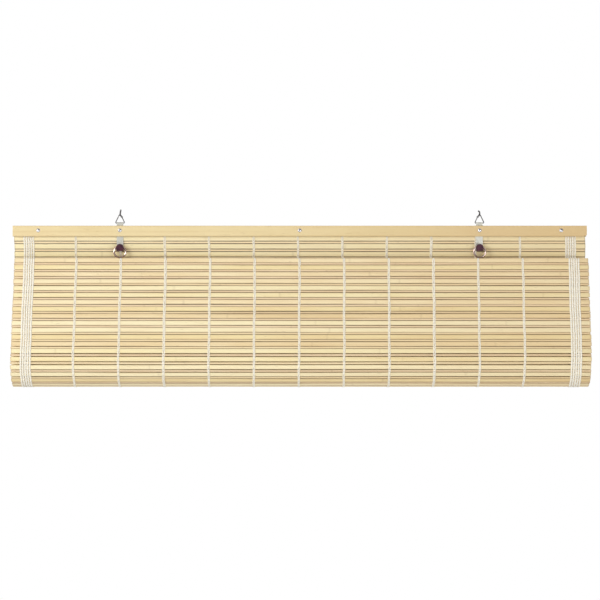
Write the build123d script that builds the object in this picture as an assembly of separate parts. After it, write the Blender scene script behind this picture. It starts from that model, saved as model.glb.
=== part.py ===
from build123d import *
from math import asin, atan2, cos, degrees, hypot, pi, radians, sin
import os

# Bamboo roll up blind, hung on two screw hooks and rolled up about halfway.
# Millimetres. X runs along the headrail, to the right as seen from the room.
# Y points at the wall, whose face is the plane Y = 0. Z is up.
# The origin is on the wall, midway between the axes of the two hooks.

# Headrail: two laths that clamp the top of the mat
lath_length = 900.0
lath_height = 16.8
front_lath_thickness = 4.0
back_lath_thickness = 3.0
lath_edge_round = 0.6
chip_length = 7.0
chip_height = 2.4

# Domed nails through the headrail
nail_shank_radius = 0.9
nail_head_radius = 3.1
nail_head_height = 1.5
nail_below_lath_top = 7.3
nail_from_lath_end = 40.0

# Screw hooks
hook_spacing = 564.0
hook_radius = 1.2
hook_in_wall = 20.0
hook_thread_radius = 1.4
hook_thread_before_wall = 0.5
hook_point_length = 4.0
hook_point_radius = 0.2
hook_bend = 2.6
hook_straight_into_bend = 0.5
hook_front_room = 3.4
left_finger_height = 10.2
left_finger_lean = 9.0
right_finger_height = 6.6
right_finger_lean = 2.0
right_tip_length = 3.2
right_tip_turn = 62.0
right_tip_bend = 1.4

# Wire triangles that hang on the hooks
stand_off = 25.0
wire_radius = 0.75
wire_rest_gap = 0.05
hanger_drop = 11.0
hanger_corner_bend = 1.2
hanger_side_gap = 0.35

# Steel straps, one behind each triangle, rolled into an eye at the top
strap_width = 10.4
strap_thickness = 0.6
eye_clearance = 0.08
eye_to_lath_top = 4.2
strap_below_lath = 21.0

# Tabs moulded on the lower ends of the straps
tab_width = 11.0
tab_height = 11.0
tab_wall = 1.0
tab_back_wall = 0.6
tab_front_of_strap = 0.7
tab_below_lath = 11.9
tab_bore_below_top = 4.1

# Rings held loosely in the tabs
ring_outer_diameter = 21.0
ring_wire_radius = 1.4
ring_rise_in_bore = 1.05
ring_bore_clearance = 0.25

# Mat: wide slats and thin sticks in turn, tied by cotton warps
mat_inset = 1.5
slat_width = 7.2
stick_width = 2.8
mat_thickness = 2.0
fall_pitch = 12.4
front_pitch = 11.7
mat_top_below_lath_top = 1.3
warp_thickness = 0.8
warp_width = 3.0
warp_pitch = 69.7
middle_warp_x = -3.0
edge_band_width = 18.0
edge_band_from_mat_edge = 14.3

# Rolled part of the mat, seen from its end
roll_radius = 43.0
roll_wall_gap = 0.2
roll_centre_below_hook = 223.0
front_top_above_ring_foot = 0.05
front_top_ahead_of_ring = 12.97
inner_turns_gap = 0.3
inner_fold_radius = 5.0
inner_fold_below_front_top = 4.7
roll_shift = 2.7

# How far a cutter reaches past what it cuts
cut_margin = 1.0

# Levels and planes that follow from the sizes above
hang_y = -stand_off
eye_z = -hanger_drop
lath_top = eye_z - eye_to_lath_top
lath_bottom = lath_top - lath_height
nail_z = lath_top - nail_below_lath_top
eye_radius = wire_radius + eye_clearance
strap_back = hang_y - eye_radius
strap_front = strap_back - strap_thickness
mat_y = strap_back + warp_thickness + mat_thickness / 2
back_lath_front = mat_y + mat_thickness / 2 + warp_thickness
mat_top = lath_top - mat_top_below_lath_top
mat_width = lath_length - 2 * mat_inset
edge_band_x = mat_width / 2 - edge_band_from_mat_edge - edge_band_width / 2
warps_each_side = int((edge_band_x - edge_band_width / 2 - warp_width) // warp_pitch)
tab_top = lath_bottom - tab_below_lath
bore_radius = ring_rise_in_bore + ring_wire_radius + ring_bore_clearance
bore_y = strap_front - tab_front_of_strap - bore_radius
bore_z = tab_top - tab_bore_below_top
ring_radius = ring_outer_diameter / 2 - ring_wire_radius
ring_z = bore_z + ring_rise_in_bore - ring_radius
hook_sides = {"left": -1, "right": 1}
hook_x = hook_spacing / 2
outer_nail_x = lath_length / 2 - nail_from_lath_end
nail_places = [-outer_nail_x, -hook_x, 0.0, hook_x, outer_nail_x]


def save(shape, name):
    shape.label = name
    export_step(shape, f"parts/{name}.step")


def group(solids):
    return Compound(children=list(solids))


def slab(x0, x1, y0, y1, z0, z1):
    """A box between two corners."""
    size = (x1 - x0, y1 - y0, z1 - z0)
    middle = ((x0 + x1) / 2, (y0 + y1) / 2, (z0 + z1) / 2)
    return Pos(*middle) * Box(*size)


def rod_x(radius, length, x, y, z):
    return Pos(x, y, z) * Rot(0, 90, 0) * Cylinder(radius, length)


def rod_y(radius, y0, y1, x, z):
    return Pos(x, (y0 + y1) / 2, z) * Rot(90, 0, 0) * Cylinder(radius, y1 - y0)


def bent_wire(path, radius):
    start = Plane(origin=path @ 0, z_dir=path % 0)
    return sweep(start * Circle(radius), path=path)


# Headrail


def drilled(shape):
    for x in nail_places:
        shape -= rod_y(nail_shank_radius, -2 * stand_off, 0, x, nail_z)
    return shape


def front_lath():
    half = lath_length / 2
    lath = slab(-half, half, strap_front - front_lath_thickness, strap_front, lath_bottom, lath_top)
    long_edges = lath.edges().filter_by(Axis.X)
    lath = fillet(long_edges, lath_edge_round)
    chip = Polyline(
        (half - chip_length, lath_bottom),
        (half + cut_margin, lath_bottom + chip_height),
        (half + cut_margin, lath_bottom - cut_margin),
        (half - chip_length, lath_bottom - cut_margin),
        close=True,
    )
    chip_face = Plane.XZ.offset(-strap_front - cut_margin) * make_face(chip)
    lath -= extrude(chip_face, amount=front_lath_thickness + 2 * cut_margin, dir=(0, -1, 0))
    return drilled(lath)


def back_lath():
    half = lath_length / 2
    lath = slab(-half, half, back_lath_front, back_lath_front + back_lath_thickness, lath_bottom, lath_top)
    lath = fillet(lath.edges().filter_by(Axis.X), lath_edge_round)
    return drilled(lath)


def nail(x):
    """A nail with a low domed head that lies on the front lath."""
    head_y = strap_front - front_lath_thickness
    end_y = back_lath_front + back_lath_thickness
    ball_radius = (nail_head_radius**2 + nail_head_height**2) / (2 * nail_head_height)
    ball = Pos(x, head_y - nail_head_height + ball_radius, nail_z) * Sphere(ball_radius)
    reach = nail_head_radius + cut_margin
    cap_front = head_y - nail_head_height - cut_margin
    cap = slab(x - reach, x + reach, cap_front, head_y, nail_z - reach, nail_z + reach)
    return (ball & cap) + rod_y(nail_shank_radius, head_y - nail_head_height / 2, end_y, x, nail_z)


# Screw hooks and wire triangles


def hook(side):
    """A wood screw hook: threaded point in the wall, plain shank, square bend, upright finger."""
    x = hook_sides[side] * hook_x
    elbow_y = hang_y - wire_radius - hook_front_room - hook_radius
    height, lean = left_finger_height, radians(left_finger_lean)
    if side == "right":
        height, lean = right_finger_height, radians(right_finger_lean)
    finger_top = Vector(x + height * sin(lean), elbow_y, height * cos(lean))
    bend_start = elbow_y + hook_bend + hook_straight_into_bend
    points = [Vector(x, bend_start, 0), Vector(x, elbow_y, 0), finger_top]
    bends = [hook_bend]
    if side == "right":
        turn = lean - radians(right_tip_turn)
        points.append(finger_top + Vector(right_tip_length * sin(turn), 0, right_tip_length * cos(turn)))
        bends.append(right_tip_bend)
    finger = bent_wire(FilletPolyline(*points, radius=bends), hook_radius)
    tip_y = hook_in_wall - hook_point_length
    shank = rod_y(hook_radius, bend_start, -hook_thread_before_wall, x, 0)
    thread = rod_y(hook_thread_radius, -hook_thread_before_wall, tip_y, x, 0)
    cone = Rot(-90, 0, 0) * Cone(hook_thread_radius, hook_point_radius, hook_point_length)
    point = Pos(x, tip_y + hook_point_length / 2, 0) * cone
    return finger + shank + thread + point


def hanger(side):
    """A wire bent into a triangle. Its bar turns in the strap's eye, its top lies over the hook."""
    x = hook_sides[side] * hook_x
    top_radius = hook_radius + wire_radius + wire_rest_gap
    bar_half = strap_width / 2 + hanger_side_gap
    corner_z = eye_z + hanger_corner_bend
    # The legs are the outer tangents of the top bend and the corner bends.
    reach = hypot(bar_half, corner_z)
    lean = degrees(pi / 2 - asin((top_radius - hanger_corner_bend) / reach) - atan2(-corner_z, bar_half))

    def on_top(angle):
        return (x + top_radius * cos(radians(angle)), top_radius * sin(radians(angle)))

    def on_corner(sign, angle):
        bend = hanger_corner_bend
        return (
            x + sign * (bar_half + bend * cos(radians(angle))),
            corner_z + bend * sin(radians(angle)),
        )

    bar_left, bar_right = (x - bar_half, eye_z), (x + bar_half, eye_z)
    middle = (lean - 90) / 2
    outline = Curve() + [
        Line(bar_left, bar_right),
        ThreePointArc(bar_right, on_corner(1, middle), on_corner(1, lean)),
        Line(on_corner(1, lean), on_top(lean)),
        ThreePointArc(on_top(lean), on_top(90), on_top(180 - lean)),
        Line(on_top(180 - lean), on_corner(-1, lean)),
        ThreePointArc(on_corner(-1, lean), on_corner(-1, middle), bar_left),
    ]
    path = Plane.XZ.offset(stand_off) * Wire(outline.edges())
    return bent_wire(path, wire_radius)


# Straps, tabs and rings


def strap(side):
    x = hook_sides[side] * hook_x
    half = strap_width / 2
    leaf = slab(x - half, x + half, strap_front, strap_back, lath_bottom - strap_below_lath, eye_z)
    curl = rod_x(eye_radius + strap_thickness, strap_width, x, hang_y, eye_z)
    eye = rod_x(eye_radius, strap_width + 2 * cut_margin, x, hang_y, eye_z)
    return drilled(leaf + curl - eye)


def tab(side):
    """A block with a round top, open from side to side for the ring."""
    x = hook_sides[side] * hook_x
    half = tab_width / 2
    front = bore_y - bore_radius - tab_wall
    back = strap_back + tab_back_wall
    body = slab(x - half, x + half, front, back, tab_top - tab_height, tab_top - half)
    body += rod_y(half, front, back, x, tab_top - half)
    body -= rod_x(bore_radius, tab_width + 2 * cut_margin, x, bore_y, bore_z)
    body -= slab(
        x - strap_width / 2,
        x + strap_width / 2,
        strap_front,
        strap_back,
        lath_bottom - strap_below_lath,
        lath_bottom,
    )
    return body


def ring(side):
    x = hook_sides[side] * hook_x
    return Pos(x, bore_y, ring_z) * Rot(90, 0, 0) * Torus(ring_radius, ring_wire_radius)


# Mat, as a path seen from its end: down inside the headrail, back to the wall,
# under the roll and up its front. Along this path it drifts a little to the right,
# because it was rolled up slightly askew.

roll_skin = roll_radius + mat_thickness / 2 + warp_thickness
roll_y = -roll_skin - roll_wall_gap
roll_z = -roll_centre_below_hook
fall_gap = (fall_pitch - slat_width - stick_width) / 2
kink = (mat_y, nail_z - fall_pitch - slat_width / 2 - fall_gap / 2)
ring_foot = ring_z - ring_outer_diameter / 2
front_top = (bore_y - front_top_ahead_of_ring, ring_foot + front_top_above_ring_foot)


def tangent_angle(point, side):
    """Angle on the roll's circle, from +Y, where a line from the point touches it."""
    dy, dz = point[0] - roll_y, point[1] - roll_z
    spread = degrees(pi / 2 - asin(roll_radius / hypot(dy, dz)))
    return degrees(atan2(dz, dy)) + side * spread


back_angle = tangent_angle(kink, -1)
front_angle = tangent_angle(front_top, 1)


def on_roll(angle):
    return (
        roll_y + roll_radius * cos(radians(angle)),
        roll_z + roll_radius * sin(radians(angle)),
    )


def gap_length(a, b):
    return hypot(b[0] - a[0], b[1] - a[1])


clamped_length = mat_top - kink[1]
fall_length = gap_length(kink, on_roll(back_angle))
under_length = radians(back_angle + 360 - front_angle) * roll_radius
front_length = gap_length(on_roll(front_angle), front_top)
front_start = clamped_length + fall_length + under_length
path_length = front_start + front_length


def along(a, b, distance):
    length = gap_length(a, b)
    step = ((b[0] - a[0]) / length, (b[1] - a[1]) / length)
    return (a[0] + step[0] * distance, a[1] + step[1] * distance), step


def place(distance):
    """Point and direction of the mat's middle surface at a length from its top."""
    if distance < clamped_length:
        return along((mat_y, mat_top), kink, distance)
    distance -= clamped_length
    if distance < fall_length:
        return along(kink, on_roll(back_angle), distance)
    distance -= fall_length
    if distance < under_length:
        angle = back_angle - degrees(distance / roll_radius)
        return on_roll(angle), (sin(radians(angle)), -cos(radians(angle)))
    return along(on_roll(front_angle), front_top, distance - under_length)


def pitch_row(start, end, pitch):
    """Evenly spaced slat places from start to end, as near to the pitch as fits."""
    count = round((end - start) / pitch)
    return [start + (end - start) * i / count for i in range(count)]


first_slat = mat_top - nail_z
last_slat = path_length - slat_width / 2
slat_places = pitch_row(first_slat, front_start, fall_pitch)
slat_places += pitch_row(front_start, last_slat, front_pitch) + [last_slat]
stick_places = [(a + b) / 2 for a, b in zip(slat_places, slat_places[1:])]


def bar(distance, width):
    """One slat or stick across the mat."""
    (y, z), (dy, dz) = place(distance)
    turned = degrees(atan2(dy, -dz))
    x = roll_shift * distance / path_length
    return Pos(x, y, z) * Rot(turned, 0, 0) * Box(mat_width, mat_thickness, width)


def bars(places, width, low, high):
    chosen = [bar(d, width) for d in places if low <= d < high]
    return group(chosen)


def bar_edges(offset):
    """The corners of every slat and stick on a line beside the mat, from its top to the roll's."""
    half_widths = [(d, slat_width / 2) for d in slat_places] + [(d, stick_width / 2) for d in stick_places]
    points = [(mat_y + offset, mat_top)]
    for distance, half in sorted(half_widths):
        (y, z), (dy, dz) = place(distance)
        for step in (-half, half):
            points.append((y + dy * step - dz * offset, z + dz * step + dy * offset))
    return points


def without_straight(points):
    """The same line with only the points where it turns."""
    kept = [points[0]]
    for point, after in zip(points[1:], points[2:]):
        ahead = atan2(after[1] - point[1], after[0] - point[0])
        behind = atan2(point[1] - kept[-1][1], point[0] - kept[-1][0])
        if abs(ahead - behind) > 0.0001:
            kept.append(point)
    return kept + [points[-1]]


def warp(x, width):
    """The outer and the inner cord of one warp, each a flat band that follows the mat."""
    near = mat_thickness / 2
    cords = []
    for side in (1, -1):
        edge = without_straight(bar_edges(side * near))
        edge += reversed(without_straight(bar_edges(side * (near + warp_thickness))))
        section = make_face(Polyline(*edge, close=True))
        band = extrude(Plane.YZ.offset(x - width / 2) * section, amount=width)
        cords.append(drilled(band))
    return group(cords)


def inner_turns():
    """The turns inside the outer one, as one body with a round fold at its top."""
    margin = mat_thickness / 2 + warp_thickness + inner_turns_gap
    foot, heading = along(front_top, on_roll(front_angle), inner_fold_below_front_top)
    into_roll = (-heading[1], heading[0])
    reach = margin + inner_fold_radius
    fold = (foot[0] + into_roll[0] * reach, foot[1] + into_roll[1] * reach)
    big = Pos(roll_y, roll_z) * Circle(roll_radius - margin)
    small = Pos(*fold) * Circle(inner_fold_radius)
    outline = make_hull(big.edges() + small.edges())
    return extrude(Plane.YZ.offset(roll_shift - mat_width / 2) * outline, amount=mat_width)


os.makedirs("parts", exist_ok=True)

save(front_lath(), "front_lath")
save(back_lath(), "back_lath")
save(group(nail(x) for x in nail_places), "headrail_nails")

for side in hook_sides:
    save(hook(side), f"{side}_screw_hook")
    save(hanger(side), f"{side}_wire_hanger")
    save(strap(side), f"{side}_strap")
    save(tab(side), f"{side}_tab")
    save(ring(side), f"{side}_ring")

roll_start = clamped_length + fall_length - fall_pitch / 2
roll_end = path_length + stick_width
second_bar = first_slat + slat_width
top_slat = bars(slat_places, slat_width, 0, second_bar)
save(group(drilled(s) for s in top_slat.solids()), "mat_top_slat")
save(bars(slat_places, slat_width, second_bar, roll_start), "falling_slats")
save(bars(stick_places, stick_width, 0, roll_start), "falling_sticks")
save(bars(slat_places, slat_width, roll_start, front_start), "underside_slats")
save(bars(stick_places, stick_width, roll_start, front_start), "underside_sticks")
save(bars(slat_places, slat_width, front_start, roll_end), "front_slats")
save(bars(stick_places, stick_width, front_start, roll_end), "front_sticks")
save(inner_turns(), "inner_turns")

for i in range(-warps_each_side, warps_each_side + 1):
    save(warp(middle_warp_x + i * warp_pitch, warp_width), f"warp_{i + warps_each_side + 1:02d}")
save(warp(-edge_band_x, edge_band_width), "left_edge_band")
save(warp(edge_band_x, edge_band_width), "right_edge_band")

print("slats", len(slat_places), "sticks", len(stick_places), "path", round(path_length, 1))
print("front leans", round(front_angle - 180, 1), "fall leans", round(back_angle, 1))
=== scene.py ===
import random
from math import acos, atan2, cos, hypot, pi, radians, sin

import bmesh
import bpy
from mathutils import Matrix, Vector


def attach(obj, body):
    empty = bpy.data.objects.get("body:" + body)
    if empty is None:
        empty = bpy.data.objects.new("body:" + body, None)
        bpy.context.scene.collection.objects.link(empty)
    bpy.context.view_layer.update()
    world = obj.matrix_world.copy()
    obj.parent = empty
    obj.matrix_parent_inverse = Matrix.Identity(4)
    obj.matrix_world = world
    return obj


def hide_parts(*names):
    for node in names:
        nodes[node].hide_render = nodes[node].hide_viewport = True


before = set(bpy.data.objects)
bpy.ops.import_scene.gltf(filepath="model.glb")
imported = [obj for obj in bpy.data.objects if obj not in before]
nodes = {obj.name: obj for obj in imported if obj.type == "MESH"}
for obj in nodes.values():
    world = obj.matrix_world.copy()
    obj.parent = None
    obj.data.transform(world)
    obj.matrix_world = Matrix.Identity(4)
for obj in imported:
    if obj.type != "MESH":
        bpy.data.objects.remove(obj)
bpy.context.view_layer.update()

mm = 0.001
scene = bpy.context.scene
dice = random.Random(37)
print("frame loaded:", len(nodes), "nodes")


# Camera and light

camera = {"lens": 137.8, "sensor": 36.0, "x": 0.0004, "y": -3.63, "z": -0.1317}

lens = bpy.data.cameras.new("camera")
lens.lens = camera["lens"]
lens.sensor_width = camera["sensor"]
lens.clip_start = 0.05
lens.clip_end = 60
viewer = bpy.data.objects.new("camera", lens)
viewer.location = (camera["x"], camera["y"], camera["z"])
viewer.rotation_euler = (pi / 2, 0, 0)
scene.collection.objects.link(viewer)
scene.camera = viewer
scene.view_settings.view_transform = "Standard"

# large soft panels, powers in watts
lamps = {
    "key": {"at": (-2.2, -2.0, 0.5), "to": (0, -0.03, -0.12), "size": (1.2, 1.0), "power": 37},
    "fill": {"at": (1.7, -2.5, -0.6), "to": (0, -0.03, -0.15), "size": (1.8, 0.6), "power": 18},
    "back": {"at": (0.8, 2.2, 1.5), "to": (0, 0, -0.12), "size": (1.6, 1.2), "power": 20},
}
for name, lamp in lamps.items():
    light = bpy.data.lights.new(name, "AREA")
    light.shape = "RECTANGLE"
    light.size, light.size_y = lamp["size"]
    light.energy = lamp["power"]
    holder = bpy.data.objects.new(name, light)
    holder.location = lamp["at"]
    aim = Vector(lamp["to"]) - Vector(lamp["at"])
    holder.rotation_euler = aim.to_track_quat("-Z", "Y").to_euler()
    scene.collection.objects.link(holder)


# Shader helpers

class Wire:
    # one output of a node, usable in sums
    def __init__(self, finish, socket):
        self.finish = finish
        self.socket = socket

    def calc(self, operation, first, second):
        return self.finish.add("ShaderNodeMath", {"operation": operation}, {0: first, 1: second})

    def __add__(self, other):
        return self.calc("ADD", self, other)

    def __radd__(self, other):
        return self.calc("ADD", other, self)

    def __sub__(self, other):
        return self.calc("SUBTRACT", self, other)

    def __rsub__(self, other):
        return self.calc("SUBTRACT", other, self)

    def __mul__(self, other):
        return self.calc("MULTIPLY", self, other)

    def __rmul__(self, other):
        return self.calc("MULTIPLY", other, self)

    def __or__(self, other):
        return self.calc("MAXIMUM", self, other)


class Finish:
    # a material, or a world, put together node by node
    def __init__(self, name, owner=None):
        self.owner = owner or bpy.data.materials.new(name)
        self.owner.use_nodes = True
        self.nodes = self.owner.node_tree.nodes
        self.links = self.owner.node_tree.links
        self.nodes.clear()

    def add(self, kind, settings=None, sockets=None, out=0):
        node = self.nodes.new(kind)
        for key, value in (settings or {}).items():
            if key == "stops":
                ramp = node.color_ramp.elements
                while len(ramp) < len(value):
                    ramp.new(0.5)
                for stop, (place, colour) in zip(ramp, value):
                    stop.position = place
                    stop.color = colour
            else:
                setattr(node, key, value)
        for key, value in (sockets or {}).items():
            if isinstance(value, Wire):
                self.links.new(value.socket, node.inputs[key])
            else:
                node.inputs[key].default_value = value
        return Wire(self, node.outputs[out]) if len(node.outputs) else None

    def spot(self):
        return self.add("ShaderNodeTexCoord", out="Object")

    def read(self, name, out="Vector"):
        return self.add("ShaderNodeAttribute", {"attribute_name": name}, out=out)

    def stretch(self, vector, scale):
        return self.add("ShaderNodeVectorMath", {"operation": "MULTIPLY"}, {0: vector, 1: scale})

    def noise(self, vector, detail=2.0, roughness=0.5, scale=1.0):
        sockets = {"Vector": vector, "Scale": scale, "Detail": detail, "Roughness": roughness}
        return self.add("ShaderNodeTexNoise", None, sockets)

    def axis(self, vector, which):
        return self.add("ShaderNodeSeparateXYZ", None, {0: vector}, out=which)

    def between(self, value, low, high):
        # 0 at low, 1 at high, smooth in between
        sockets = {"Value": value, "From Min": low, "From Max": high}
        return self.add("ShaderNodeMapRange", {"interpolation_type": "SMOOTHSTEP"}, sockets)

    def blend(self, first, second, share):
        settings = {"data_type": "RGBA", "blend_type": "MIX", "clamp_factor": True}
        return self.add("ShaderNodeMix", settings, {0: share, 6: first, 7: second}, out=2)

    def ramp(self, value, stops):
        return self.add("ShaderNodeValToRGB", {"stops": stops}, {0: value})

    def surface(self, colour, roughness, height, depth, **fixed):
        # depth is how far the bump stands, in metres
        relief = {"Height": height, "Distance": depth, "Strength": 1.0}
        normal = self.add("ShaderNodeBump", None, relief)
        sockets = {"Base Color": colour, "Roughness": roughness, "Normal": normal}
        for key, value in fixed.items():
            sockets[key.replace("_", " ")] = value
        shader = self.add("ShaderNodeBsdfPrincipled", None, sockets)
        self.add("ShaderNodeOutputMaterial", None, {"Surface": shader})
        return self.owner


def tint(red, green, blue):
    return tuple((c / 255) ** 2.2 for c in (red, green, blue)) + (1.0,)


# White room, brighter behind the blind than in front of it for what metal mirrors

room = {"light": (0.56, 0.56, 0.57, 1), "front": (0.34, 0.33, 0.32, 1), "white": (1, 1, 1, 1)}

world = bpy.data.worlds.new("room")
scene.world = world
air = Finish("room", world)
ray = "ShaderNodeLightPath"
heading = air.axis(air.add("ShaderNodeTexCoord", out="Generated"), 1)
mirrored = air.blend(room["front"], room["white"], air.between(heading, -0.35, 0.5))
inMetal = air.add(ray, out="Is Glossy Ray")
seen = air.add(ray, out="Is Camera Ray") | air.add(ray, out="Is Transmission Ray")
sky = air.blend(air.blend(room["light"], mirrored, inMetal), room["white"], seen)
shine = air.add("ShaderNodeBackground", None, {"Color": sky, "Strength": 1.0})
air.add("ShaderNodeOutputWorld", None, {"Surface": shine})

floor = {"z": -1.3, "half": 5.0, "colour": (0.8, 0.8, 0.79, 1), "glow": 0.84}

plane = bpy.data.meshes.new("floor")
half, low = floor["half"], floor["z"]
corners = [(-half, -half, low), (half, -half, low), (half, half, low), (-half, half, low)]
plane.from_pydata(corners, [], [(0, 1, 2, 3)])
ground = bpy.data.objects.new("floor", plane)
scene.collection.objects.link(ground)
paint = Finish("floor")
seen = paint.add(ray, out="Is Camera Ray") | paint.add(ray, out="Is Glossy Ray")
seen = seen | paint.add(ray, out="Is Transmission Ray")
chalk = paint.add("ShaderNodeBsdfDiffuse", None, {"Color": floor["colour"]})
glow = paint.add("ShaderNodeEmission", None, {"Color": room["white"], "Strength": 1.12})
mixed = paint.add("ShaderNodeMixShader", None, {0: seen * floor["glow"], 1: chalk, 2: glow})
paint.add("ShaderNodeOutputMaterial", None, {"Surface": mixed})
plane.materials.append(paint.owner)
print("camera, lamps, room and floor placed")


# Bamboo: slats and sticks, whose meshes carry their own grain, tone and knots; the tone of the top falling
# ones also holds painted light

def bamboo(name, tones, streak, rind_and_gap_shade, gloss, groove, depth):
    f = Finish(name)
    grain = f.read("grain")
    tone = f.axis(f.read("bar"), 0)
    across = f.axis(f.read("bar"), 1)
    inside = f.axis(f.read("bar"), 2)
    knot = f.read("knot", "Fac")
    fibre = f.noise(f.stretch(grain, (12, 1700, 1700)), detail=3, roughness=0.6)
    bands = f.noise(f.stretch(grain, (2.6, 300, 300)), detail=2)
    cloud = f.noise(f.stretch(grain, (9, 60, 60)), detail=2)
    speck = f.noise(f.stretch(grain, (90, 800, 800)), detail=1)
    stops = [(i / (len(tones) - 1), tint(*shade)) for i, shade in enumerate(tones)]
    colour = f.ramp(tone + (cloud - 0.5) * 0.55, stops)
    colour = f.blend(colour, tint(*streak), f.between(bands, 0.52, 0.78) * 0.5)
    colour = f.blend(colour, tint(*streak), f.between(fibre, 0.5, 0.85) * 0.4)
    patchy = f.noise(f.stretch(grain, (7, 40, 40)), detail=1)
    blotchy = f.between(patchy, 0.3, 0.6) * 0.5 + 0.5
    # painted shade: each bar's edges go towards the rind colour, unevenly along the bar; this is partly
    # the browner cut edge and partly the shade that falls in the gaps between bars
    colour = f.blend(colour, tint(*rind_and_gap_shade), f.between(across * across, *groove) * blotchy * depth)
    colour = f.blend(colour, tint(*rind_and_gap_shade), f.between(speck, 0.7, 0.82) * 0.35)
    colour = f.blend(colour, tint(*rind_and_gap_shade), knot * 0.13)
    # painted shade: darker towards the right, away from the key light on the left
    colour = f.blend(colour, tint(204, 166, 108), f.between(f.axis(f.spot(), 0), -0.25, 0.5) * 0.22)
    colour = f.blend(tint(*rind_and_gap_shade), colour, f.between(inside, 0.0, 0.12) * 0.3 + 0.7)
    roughness = gloss + fibre * 0.2
    height = fibre * 0.6 + bands * 0.4 + knot * 0.5
    return f.surface(colour, roughness, height, 0.00012, Specular_IOR_Level=0.4)


slatTones = [
    (238, 211, 157), (246, 226, 171), (250, 235, 186),
    (252, 238, 194), (249, 229, 184), (240, 215, 166),
]
stickTones = [(230, 203, 160), (242, 218, 172), (249, 229, 186), (246, 222, 184), (234, 206, 166)]
slatFinish = bamboo("bamboo slat", slatTones, (214, 180, 126), (118, 80, 48), 0.42, (0.64, 0.76), 0.4)
stickFinish = bamboo("bamboo stick", stickTones, (204, 170, 130), (112, 76, 48), 0.5, (0.6, 0.74), 0.4)
# painted shade: the hanging ones have darker edges, standing in for the dark gaps between them, because
# nothing behind them catches the light
gapShadedSlatFinish = bamboo(
    "bamboo slat hanging free with painted gap shade", slatTones, (214, 180, 126), (72, 42, 28), 0.42, (0.56, 0.66), 0.97
)
gapShadedStickFinish = bamboo(
    "bamboo stick hanging free with painted gap shade", stickTones, (204, 170, 130), (72, 42, 28), 0.5, (0.5, 0.62), 0.97
)


# Cotton cord: two plies that wind round each other, read from the strand's own line

def cotton(name):
    f = Finish(name)
    ply = f.read("ply")
    run, east, north = (f.axis(ply, i) for i in range(3))
    turn = run * 4200.0
    wave = {"operation": "SINE"}, {"operation": "COSINE"}
    groove = f.add("ShaderNodeMath", wave[0], {0: turn}) * east
    groove = groove + f.add("ShaderNodeMath", wave[1], {0: turn}) * north
    fluff = f.noise(f.stretch(f.spot(), (2600, 2600, 2600)), detail=3, roughness=0.7)
    blotchy = f.noise(f.stretch(f.spot(), (60, 60, 60)), detail=2)
    colour = f.blend(tint(255, 252, 240), tint(248, 240, 220), blotchy)
    # painted shade: darker down the ply grooves, where the two plies wind into each other
    colour = f.blend(colour, tint(222, 206, 176), f.between(groove, 0.35, 1.0) * 0.4)
    colour = f.blend(colour, tint(255, 251, 238), f.between(fluff, 0.55, 0.75) * 0.5)
    height = fluff * 0.5 - groove * 0.35
    return f.surface(colour, 0.92, height, 0.0002, Sheen_Weight=0.25, Sheen_Roughness=0.5)


cottonFinish = cotton("cotton cord")


# Headrail laths: one long strip of bamboo each, planed smooth

def lathFinish(name):
    f = Finish(name)
    spot = f.spot()
    fibre = f.noise(f.stretch(spot, (14, 1500, 1500)), detail=3, roughness=0.6)
    bands = f.noise(f.stretch(spot, (1.6, 60, 190)), detail=3)
    drift = f.noise(f.stretch(spot, (4.5, 20, 20)), detail=2)
    fleck = f.noise(f.stretch(spot, (70, 900, 900)), detail=1)
    level = f.axis(spot, 2)
    stops = [(0.3, tint(229, 206, 152)), (0.5, tint(237, 216, 165)), (0.7, tint(233, 208, 158))]
    colour = f.ramp(drift, stops)
    colour = f.blend(colour, tint(216, 186, 130), f.between(bands, 0.45, 0.75) * 0.5)
    colour = f.blend(colour, tint(198, 166, 112), f.between(fibre, 0.55, 0.85) * 0.35)
    colour = f.blend(colour, tint(176, 140, 92), f.between(fleck, 0.68, 0.8) * 0.35)
    # painted shade: the lath is drawn darker towards the right, away from the key light on the left
    right_side_shade = f.between(f.axis(spot, 0) + (drift - 0.5) * 0.4, -0.15, 0.5)  # darker towards the right
    colour = f.blend(colour, tint(212, 178, 126), right_side_shade * 0.75)
    lower = 1 - f.between(level, -0.0318, -0.0302)
    upper = f.between(level, -0.0164, -0.0153)
    colour = f.blend(colour, tint(196, 160, 106), (lower | upper) * 0.4)
    height = fibre * 0.7 + bands * 0.3
    return f.surface(colour, 0.4 + fibre * 0.18, height, 0.0001, Specular_IOR_Level=0.45)


# Metals

def metal(name, colour, shade, rough, stretch, depth=0.00002, smear=0.14):
    f = Finish(name)
    spot = f.spot()
    scratch = f.noise(f.stretch(spot, stretch), detail=3, roughness=0.65)
    stain = f.noise(f.stretch(spot, (260, 260, 260)), detail=2)
    paintwork = f.blend(tint(*colour), tint(*shade), f.between(stain, 0.4, 0.72) * 0.7)
    paintwork = f.blend(paintwork, tint(*shade), f.between(scratch, 0.55, 0.8) * 0.5)
    return f.surface(paintwork, rough + stain * smear, scratch, depth, Metallic=1.0)


strapFinish = metal("strap steel", (248, 248, 238), (222, 222, 210), 0.34, (3800, 3800, 160))
wireFinish = metal("hanger wire", (116, 114, 114), (62, 60, 60), 0.3, (900, 900, 900))
hookFinish = metal("hook steel", (112, 110, 110), (58, 56, 56), 0.34, (700, 700, 700))
ringFinish = metal("ring nickel", (232, 208, 200), (168, 138, 132), 0.16, (500, 500, 500))
nailFinish = metal("nail nickel", (232, 232, 236), (176, 172, 176), 0.2, (900, 900, 900))


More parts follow.
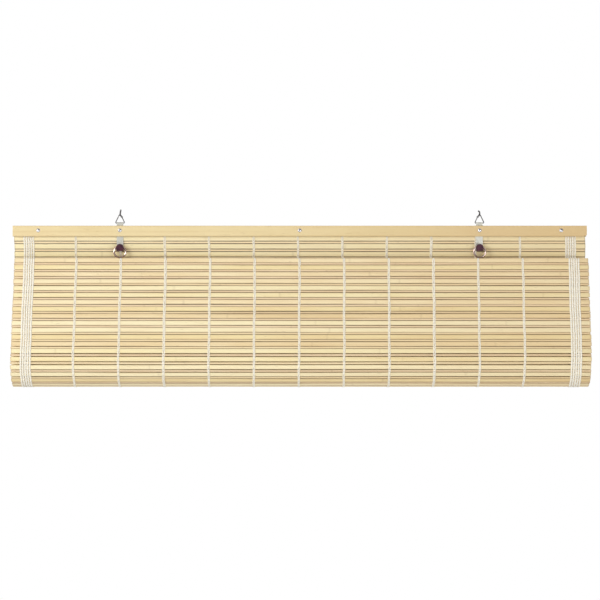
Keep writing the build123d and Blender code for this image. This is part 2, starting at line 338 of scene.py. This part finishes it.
def plastic(name):
    f = Finish(name)
    spot = f.spot()
    cloudy = f.noise(f.stretch(spot, (180, 180, 180)), detail=3)
    pits = f.noise(f.stretch(spot, (1500, 1500, 1500)), detail=2)
    scuff = f.noise(f.stretch(spot, (500, 500, 90)), detail=3, roughness=0.7)
    colour = f.blend(tint(58, 22, 42), tint(84, 40, 56), f.between(cloudy, 0.35, 0.7))
    colour = f.blend(colour, tint(152, 118, 112), f.between(scuff, 0.6, 0.8) * 0.35)
    return f.surface(colour, 0.26 + cloudy * 0.16, pits, 0.00005, Coat_Weight=0.2, Coat_Roughness=0.2)


kept = {
    lathFinish("lath bamboo"): ["front_lath", "back_lath"],
    nailFinish: ["headrail_nails"],
    wireFinish: ["left_wire_hanger", "right_wire_hanger"],
    strapFinish: ["left_strap", "right_strap"],
    plastic("brown plastic"): ["left_tab", "right_tab"],
    ringFinish: ["left_ring", "right_ring"],
}
for material, names in kept.items():
    for name in names:
        for place in nodes[name].material_slots:
            place.material = material
print("finishes made")


# Meshes swept ring by ring, in millimetres

class Heap:
    def __init__(self):
        self.points = []
        self.faces = []
        self.values = {}

    def sweep(self, rings, **values):
        first, count = len(self.points), len(rings[0])
        for ring in rings:
            self.points += ring
        for i in range(len(rings) - 1):
            low = first + i * count
            for k in range(count):
                after = (k + 1) % count
                self.faces.append((low + k, low + after, low + count + after, low + count + k))
        last = first + (len(rings) - 1) * count
        self.faces.append(tuple(range(first + count - 1, first - 1, -1)))
        self.faces.append(tuple(range(last, last + count)))
        for name, rows in values.items():
            self.values.setdefault(name, []).extend(rows)

    def piece(self, name, finish, body, slot, *stands):
        data = bpy.data.meshes.new(name)
        data.from_pydata([(x * mm, y * mm, z * mm) for x, y, z in self.points], [], self.faces)
        for title, rows in self.values.items():
            if isinstance(rows[0], tuple):
                layer = data.attributes.new(title, "FLOAT_VECTOR", "POINT")
                layer.data.foreach_set("vector", [number for row in rows for number in row])
            else:
                layer = data.attributes.new(title, "FLOAT", "POINT")
                layer.data.foreach_set("value", rows)
        work = bmesh.new()
        work.from_mesh(data)
        bmesh.ops.recalc_face_normals(work, faces=work.faces)
        work.to_mesh(data)
        work.free()
        data.shade_smooth()
        data.materials.append(finish)
        thing = bpy.data.objects.new(name, data)
        scene.collection.objects.link(thing)
        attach(thing, body)
        if stands:
            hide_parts(*stands)
        return thing


# The mat's line seen from its end: down inside the headrail, back to the wall,
# under the roll, up its front, then over a fold and round inside. All in millimetres.

mat = {
    # how much wider slats and sticks are drawn than the room they have, turn by turn
    "seen": {
        "falling": (1.285, 1.42), "front": (1.045, 1.1), "underside": (1.045, 1.1),
        "inner": (1.0, 1.0), "top": (1.0, 1.0),
    },
    "width": 897.0, "thick": 2.0, "slat": 7.2, "stick": 2.8, "askew": 2.7, "length": 1600.0,
    "paintedLiftUntil": 60.0,
    "y": -24.03, "top": -16.5, "firstSlat": 6.0, "fallPitch": 12.4, "frontPitch": 11.7,
}
roll = {
    "radius": 43.0, "y": -45.0, "z": -223.0, "kink": (-24.03, -39.1), "frontTop": (-42.8, -66.5),
    "foldBelow": 4.7, "foldRadius": 5.0, "skin": 1.8, "room": 0.3, "turnGap": 4.6,
}


def touching(point, side):
    dy, dz = point[0] - roll["y"], point[1] - roll["z"]
    return atan2(dz, dy) + side * acos(roll["radius"] / hypot(dy, dz))


backAngle = touching(roll["kink"], -1)
frontAngle = touching(roll["frontTop"], 1)


def onRoll(angle):
    return roll["y"] + roll["radius"] * cos(angle), roll["z"] + roll["radius"] * sin(angle)


def gap(a, b):
    return hypot(b[0] - a[0], b[1] - a[1])


clampedLength = mat["top"] - roll["kink"][1]
fallLength = gap(roll["kink"], onRoll(backAngle))
underLength = (backAngle + 2 * pi - frontAngle) * roll["radius"]
frontStart = clampedLength + fallLength + underLength
pathLength = frontStart + gap(onRoll(frontAngle), roll["frontTop"])


def towards(a, b, distance):
    length = gap(a, b)
    dy, dz = (b[0] - a[0]) / length, (b[1] - a[1]) / length
    return a[0] + dy * distance, a[1] + dz * distance, dy, dz


def outerPlace(distance):
    # y, z and heading at a length from the mat's top
    if distance < clampedLength:
        return towards((mat["y"], mat["top"]), roll["kink"], distance)
    distance -= clampedLength
    if distance < fallLength:
        return towards(roll["kink"], onRoll(backAngle), distance)
    distance -= fallLength
    if distance < underLength:
        angle = backAngle - distance / roll["radius"]
        return onRoll(angle) + (sin(angle), -cos(angle))
    return towards(onRoll(frontAngle), roll["frontTop"], distance - underLength)


def teardrop(bigRadius, small, smallRadius):
    # outline round the roll's centre and a fold, from the fold's top down the back
    big = (roll["y"], roll["z"])
    up = atan2(small[1] - big[1], small[0] - big[0])
    lean = acos((bigRadius - smallRadius) / gap(big, small))
    line = []
    for centre, radius, start, end, count in (
        (small, smallRadius, up, up - lean, 12),
        (big, bigRadius, up - lean, up + lean - 2 * pi, 90),
        (small, smallRadius, up + lean, up, 12),
    ):
        for i in range(count + 1):
            angle = start + (end - start) * i / count
            line.append((centre[0] + radius * cos(angle), centre[1] + radius * sin(angle)))
    return line


def innerLine():
    # turns that wind inwards, each a smaller teardrop than the one before
    foot = towards(roll["frontTop"], onRoll(frontAngle), roll["foldBelow"])
    margin = roll["skin"] + roll["room"]
    reach = margin + roll["foldRadius"]
    fold = (foot[0] - foot[3] * reach, foot[1] + foot[2] * reach)
    smallRadius = roll["foldRadius"] - roll["skin"]
    outlines = []
    for turn in range(5):
        bigRadius = roll["radius"] - margin - roll["skin"] - turn * roll["turnGap"]
        sink = towards(fold, (roll["y"], roll["z"]), turn * roll["turnGap"] * 4.3)
        outlines.append(teardrop(bigRadius, sink[:2], smallRadius))
    line = []
    for wide, narrow in zip(outlines, outlines[1:]):
        total = sum(gap(a, b) for a, b in zip(wide, wide[1:]))
        gone = 0.0
        for i, (a, b) in enumerate(zip(wide, narrow)):
            gone += gap(wide[i - 1], a) if i else 0.0
            share = gone / total
            line.append((a[0] + (b[0] - a[0]) * share, a[1] + (b[1] - a[1]) * share))
        line.pop()
    return line


def follow(line, distances):
    # y, z and heading at each length along a line, lengths in rising order
    found, i, gone = [], 0, 0.0
    for distance in distances:
        while gone + gap(line[i], line[i + 1]) < distance:
            gone += gap(line[i], line[i + 1])
            i += 1
        found.append(towards(line[i], line[i + 1], distance - gone))
    return found


def pitchRow(start, end, pitch):
    count = round((end - start) / pitch)
    return [start + (end - start) * i / count for i in range(count)]


lastSlat = pathLength - mat["slat"] / 2
slatPlaces = pitchRow(mat["firstSlat"], frontStart, mat["fallPitch"])
slatPlaces += pitchRow(frontStart, lastSlat, mat["frontPitch"]) + [lastSlat]
stickPlaces = [(a + b) / 2 for a, b in zip(slatPlaces, slatPlaces[1:])]
rollStart = clampedLength + fallLength - mat["fallPitch"] / 2


def bar(kind, distance, spot, turn):
    # one slat or stick with its own small differences, and painted light on the top falling ones
    share = min(distance / pathLength, 1.0)
    slip = dice.uniform(-0.35, 0.35)
    loose = 0.1 if turn == "falling" else 1.0
    # painted light: falling bars within this length of the mat's top get the palest tones, to lift the
    # shade that falls on them behind the roll's top
    painted_lift = 0.42 if turn == "falling" and distance < mat["paintedLiftUntil"] else 0.0
    return {
        "kind": kind, "at": distance, "spot": spot, "turn": turn,
        "wide": mat[kind] * mat["seen"][turn][kind == "stick"] * (1 + loose * dice.uniform(-0.045, 0.02)),
        "thick": mat["thick"] * dice.uniform(0.93, 0.99),
        "from": -mat["width"] / 2 + mat["askew"] * share + slip + dice.uniform(0.0, 0.8),
        "to": mat["width"] / 2 + mat["askew"] * share + slip - dice.uniform(0.0, 0.8),
        "bow": loose * dice.uniform(-0.3, 0.3), "sway": dice.uniform(0, 2 * pi),
        "shift": loose * dice.uniform(-0.15, 0.15),
        "tone": painted_lift + (1 - 2 * painted_lift) * dice.random(),
    }


def turnOf(distance):
    if distance < mat["firstSlat"] + 1:
        return "top"
    if distance < rollStart:
        return "falling"
    return "underside" if distance < frontStart else "front"


outerBars = [bar("slat", d, outerPlace(d), turnOf(d)) for d in slatPlaces]
outerBars += [bar("stick", d, outerPlace(d), turnOf(max(d, 8))) for d in stickPlaces]
outerBars.sort(key=lambda one: one["at"])

innerCount = int((mat["length"] - pathLength) / mat["frontPitch"] * 2)
innerPlaces = [i * mat["frontPitch"] / 2 for i in range(innerCount)]
innerBars = [
    bar("slat" if i % 2 else "stick", pathLength, spot, "inner")
    for i, spot in enumerate(follow(innerLine(), innerPlaces))
]
for i, one in enumerate(innerBars):
    drift = -1.6 * i / len(innerBars)
    one["from"] += drift
    one["to"] += drift
print("mat:", len(outerBars), "bars outside,", len(innerBars), "inside")


section = {
    "slat": {"corners": 12, "flat": (0.25, 0.5), "bevel": 0.06},
    "stick": {"corners": 12, "flat": (0.3, 0.5), "bevel": 0.07},
}
ends = {"rings": (0.12, 0.35), "cut": 0.1}
knots = {
    "every": (280.0, 520.0), "swell": 0.1,
    "stations": ((-3.0, 0.0), (-1.1, 0.5), (0.0, 1.0), (1.1, 0.5), (3.0, 0.0)),
}


def outline(kind):
    # a rounded rectangle as shares of half width and half thickness
    shape = section[kind]
    points = []
    for k in range(shape["corners"]):
        angle = 2 * pi * (k + 0.5) / shape["corners"]
        c, s = cos(angle), sin(angle)
        wide = abs(c) ** shape["flat"][0] * (1 if c > 0 else -1)
        thick = abs(s) ** shape["flat"][1] * (1 if s > 0 else -1)
        points.append((wide * (1 - shape["bevel"] * (1 + thick)), thick))
    return points


def addBar(heap, one, steps):
    shape = outline(one["kind"])
    low, high = one["from"], one["to"]
    stations = [(low + (high - low) * i / steps, 0.0) for i in range(steps + 1)]
    stations += [(low + off, 0.0) for off in ends["rings"]] + [(high - off, 0.0) for off in ends["rings"]]
    place = low + dice.uniform(30.0, knots["every"][1])
    while place < high - 12:
        stations += [(place + off, swell) for off, swell in knots["stations"]]
        place += dice.uniform(*knots["every"])
    stations.sort()
    y, z, dy, dz = one["spot"]
    offset = [dice.uniform(0, 40) for _ in range(3)]
    rings, grain, facts, knot = [], [], [], []
    for x, swell in stations:
        ripple = sin(x / 140 + one["sway"])
        side = one["bow"] * (ripple + 0.45 * sin(x / 41 + 3 * one["sway"])) + one["shift"]
        lift = 0.06 * sin(x / 75 + 2 * one["sway"])
        end = min(x - low, high - x)
        taper = 1 - ends["cut"] * max(0.0, 1 - end / ends["rings"][-1])
        ring = []
        for wide, thick in shape:
            a = wide * (one["wide"] / 2 + knots["swell"] * swell * 0.5) * taper + side
            crown = 1 + 0.05 * (1 - wide * wide)
            t = thick * (one["thick"] / 2 * crown + knots["swell"] * swell) * taper + lift
            ring.append((x, y + dy * a + dz * t, z + dz * a - dy * t))
            grain.append(((x + offset[0] * 25) * mm, (a + offset[1] * 25) * mm, (t + offset[2] * 25) * mm))
            facts.append((one["tone"], wide, min(1.0, end / 12)))
            knot.append(swell)
        rings.append(ring)
    heap.sweep(rings, grain=grain, bar=facts, knot=knot)


barFinish = {"slat": (slatFinish, gapShadedSlatFinish), "stick": (stickFinish, gapShadedStickFinish)}


def barPiece(name, bars, kind, steps, *stands):
    heap = Heap()
    for one in bars:
        addBar(heap, one, steps)
    # the falling bars take the copies with painted shade in their gaps
    finish = barFinish[kind][name.startswith("falling")]
    return heap.piece(name, finish, "blind", f"bamboo_{kind}", *stands)


def chosen(bars, kind, turn):
    return [one for one in bars if one["kind"] == kind and one["turn"] == turn]


barPiece("top_slat", chosen(outerBars, "slat", "top"), "slat", 36, "mat_top_slat")
for turn in ("falling", "underside", "front"):
    for kind in ("slat", "stick"):
        barPiece(f"{turn}_{kind}s_cut", chosen(outerBars, kind, turn), kind, 36, f"{turn}_{kind}s")
barPiece("inner_slats", chosen(innerBars, "slat", "inner"), "slat", 14, "inner_turns")
barPiece("inner_sticks", chosen(innerBars, "stick", "inner"), "stick", 14)
print("slats and sticks made")


# Warps: in each pair one strand passes in front of a bar and the other behind it,
# and they change places in every gap.

cord = {
    "thick": 0.76, "half": 1.0, "rest": 0.03, "cross": 0.62,
    "slatSteps": ((-0.9, 0.9), (-0.45, 1.0), (0.45, 1.0), (0.9, 0.9)),
    "stickSteps": ((-0.65, 0.92), (0.65, 0.92)),
}


def strandLine(bars, x, width, phase, hand, wobble, weave):
    line = []
    height = cord["half"] + cord["thick"] / 2 + cord["rest"]
    for i, one in enumerate(bars):
        y, z, dy, dz = one["spot"]
        share = min(one["at"] / pathLength, 1.0)
        drift = mat["askew"] * share + wobble[0] * sin(i * 0.37 + wobble[1])
        drift += wobble[0] * 0.6 * sin(i * 1.13 + wobble[2])
        face = 1 if (i + phase) % 2 else -1
        swing = width * weave * hand * face
        reach = mat[one["kind"]] / 2
        if i:
            # halfway between this bar's edge and the last one's, in the gap
            y0, z0, dy0, dz0 = bars[i - 1]["spot"]
            before = mat[bars[i - 1]["kind"]] / 2
            middleY = (y0 + dy0 * before + y - dy * reach) / 2
            middleZ = (z0 + dz0 * before + z - dz * reach) / 2
            lift = cord["cross"] * height * (1 if dz < 0 and one["turn"] != "underside" else -1)
            line.append((x + drift - swing, middleY + dz * lift, middleZ - dy * lift))
        for step, lift in cord[one["kind"] + "Steps"]:
            off = face * height * lift
            along = reach * step
            line.append((x + drift + swing * step, y + dy * along + dz * off, z + dz * along - dy * off))
    return line


def addStrand(heap, line, width, sides):
    rings, ply, run = [], [], 0.0
    for i, here in enumerate(line):
        before, after = line[max(i - 1, 0)], line[min(i + 1, len(line) - 1)]
        dy, dz = after[1] - before[1], after[2] - before[2]
        length = hypot(dy, dz) or 1.0
        ny, nz = dz / length, -dy / length
        run += gap(before[1:], here[1:]) if i else 0.0
        ring = []
        for k in range(sides):
            angle = 2 * pi * (k + 0.5) / sides
            a, t = width / 2 * cos(angle), cord["thick"] / 2 * sin(angle)
            ring.append((here[0] + a, here[1] + ny * t, here[2] + nz * t))
            ply.append((run * mm, cos(angle), sin(angle)))
        rings.append(ring)
    heap.sweep(rings, ply=ply)


def addPair(heap, bars, x, width, hand, sides, wobble, weave=0.2):
    for phase in (0, 1):
        line = strandLine(bars, x, width, phase, hand, wobble, weave)
        addStrand(heap, line, width, sides)


warps = {
    "pitch": 69.7, "middle": -3.0, "each": 5, "pairs": (-0.92, 0.92), "strand": 1.62,
    "thickOnes": (-3, 3), "thickStrand": 1.85,
}
bands = {"x": 425.2, "pairs": 5, "pitch": 3.55, "strand": 3.1, "weave": 0.05}


def newWobble(size):
    return size, dice.uniform(0, 6), dice.uniform(0, 6)


for i in range(-warps["each"], warps["each"] + 1):
    heap = Heap()
    strand = warps["thickStrand"] if i in warps["thickOnes"] else warps["strand"]
    wobble = newWobble(0.28)
    for side in warps["pairs"]:
        x = warps["middle"] + i * warps["pitch"] + side * strand / warps["strand"]
        addPair(heap, outerBars, x, strand, 1 if side > 0 else -1, 6, wobble)
    number = i + warps["each"] + 1
    heap.piece(f"warp_cords_{number:02d}", cottonFinish, "blind", "cotton_cord", f"warp_{number:02d}")

for side, name in ((-1, "left"), (1, "right")):
    heap = Heap()
    wobble = newWobble(0.25)
    for k in range(bands["pairs"]):
        x = side * bands["x"] + (k - (bands["pairs"] - 1) / 2) * bands["pitch"]
        addPair(heap, outerBars, x, bands["strand"], 1 if k % 2 else -1, 6, wobble, bands["weave"])
    heap.piece(f"{name}_edge_cords", cottonFinish, "blind", "cotton_cord", f"{name}_edge_band")

heap = Heap()
for i in range(-warps["each"], warps["each"] + 1):
    addPair(heap, innerBars, warps["middle"] + i * warps["pitch"], 2.6, 1, 4, newWobble(0.2))
heap.piece("inner_warp_cords", cottonFinish, "blind", "cotton_cord")

heap = Heap()
for side in (-1, 1):
    wobble = newWobble(0.2)
    for k in range(bands["pairs"]):
        x = side * bands["x"] + (k - (bands["pairs"] - 1) / 2) * bands["pitch"]
        addPair(heap, innerBars, x, bands["strand"], 1 if k % 2 else -1, 4, wobble)
heap.piece("inner_edge_cords", cottonFinish, "blind", "cotton_cord")
print("cords made")


# Screw hooks: thread in the wall, plain shank, square bend and finger

hooks = {
    "x": 282.0, "wire": 1.2, "thread": 1.4, "root": 1.02, "pitch": 1.5, "inWall": 20.0, "point": 4.0,
    "threadFrom": -0.5, "elbow": -30.35, "bend": 2.6, "sides": 24,
}
fingers = {
    "left": {"sign": -1, "height": 10.2, "lean": 9.0, "tip": 0.0, "turn": 0.0},
    "right": {"sign": 1, "height": 6.6, "lean": 2.0, "tip": 3.2, "turn": 62.0},
}


def rounded(corners, bends, steps=8):
    # the same line with each inner corner drawn as an arc
    line = [corners[0]]
    for before, corner, after, bend in zip(corners, corners[1:], corners[2:], bends):
        into, out = (corner - before).normalized(), (after - corner).normalized()
        half = into.angle(out) / 2
        cut = bend * sin(half) / cos(half)
        centre = corner + (out - into).normalized() * bend / cos(half)
        start, end = corner - into * cut - centre, corner + out * cut - centre
        for i in range(steps + 1):
            line.append(centre + start.slerp(end, i / steps) * 1.0)
    return line + [corners[-1]]


def tube(heap, line, radii, sides, across):
    # rings that turn with the line; radii gives one radius, or one for each side
    rings = []
    for i, here in enumerate(line):
        heading = (line[min(i + 1, len(line) - 1)] - line[max(i - 1, 0)]).normalized()
        across = (across - heading * across.dot(heading)).normalized()
        up = heading.cross(across)
        ring = []
        for k in range(sides):
            angle = 2 * pi * k / sides
            radius = radii[i] if isinstance(radii[i], float) else radii[i][k]
            ring.append(tuple(here + across * radius * cos(angle) + up * radius * sin(angle)))
        rings.append(ring)
    heap.sweep(rings)


def threadRadii(y):
    # a sharp crest that winds along the shank, thinner over the point
    left = hooks["inWall"] - y
    point = min(1.0, 0.14 + 0.86 * left / hooks["point"])
    runOut = max(0.0, min(1.0, (y - hooks["threadFrom"]) / 1.5))
    crest = (hooks["thread"] - hooks["root"]) * runOut
    base = hooks["root"] + (hooks["wire"] - hooks["root"]) * (1 - runOut)
    radii = []
    for k in range(hooks["sides"]):
        phase = (y / hooks["pitch"] + k / hooks["sides"]) % 1
        ridge = max(0.0, 1 - abs(phase - 0.5) * 3.2)
        radii.append((base + crest * ridge) * point)
    return radii


for side, finger in fingers.items():
    x = finger["sign"] * hooks["x"]
    lean = radians(finger["lean"])
    elbow = Vector((x, hooks["elbow"], 0))
    top = elbow + Vector((sin(lean), 0, cos(lean))) * finger["height"]
    corners, bends = [Vector((x, hooks["threadFrom"], 0)), elbow, top], [hooks["bend"]]
    if finger["tip"]:
        turn = lean - radians(finger["turn"])
        corners.append(top + Vector((sin(turn), 0, cos(turn))) * finger["tip"])
        bends.append(1.4)
    end = (corners[-1] - corners[-2]).normalized()
    corners[-1] = corners[-1] - end * 0.5
    line, radii = [], []
    count = int((hooks["inWall"] - hooks["threadFrom"]) / 0.12)
    for i in range(count):
        y = hooks["inWall"] - 0.12 * i
        line.append(Vector((x, y, 0)))
        radii.append(threadRadii(y))
    bent = rounded(corners, bends)
    line += bent
    radii += [hooks["wire"]] * len(bent)
    for i in range(1, 5):
        angle = i * pi / 8.5
        line.append(corners[-1] + end * 0.5 * sin(angle))
        radii.append(hooks["wire"] * cos(angle) ** 0.5)
    heap = Heap()
    tube(heap, line, radii, hooks["sides"], Vector((1, 0, 0)))
    heap.piece(f"{side}_hook_turned", hookFinish, "hooks", "hook_steel", f"{side}_screw_hook")
print("hooks made")
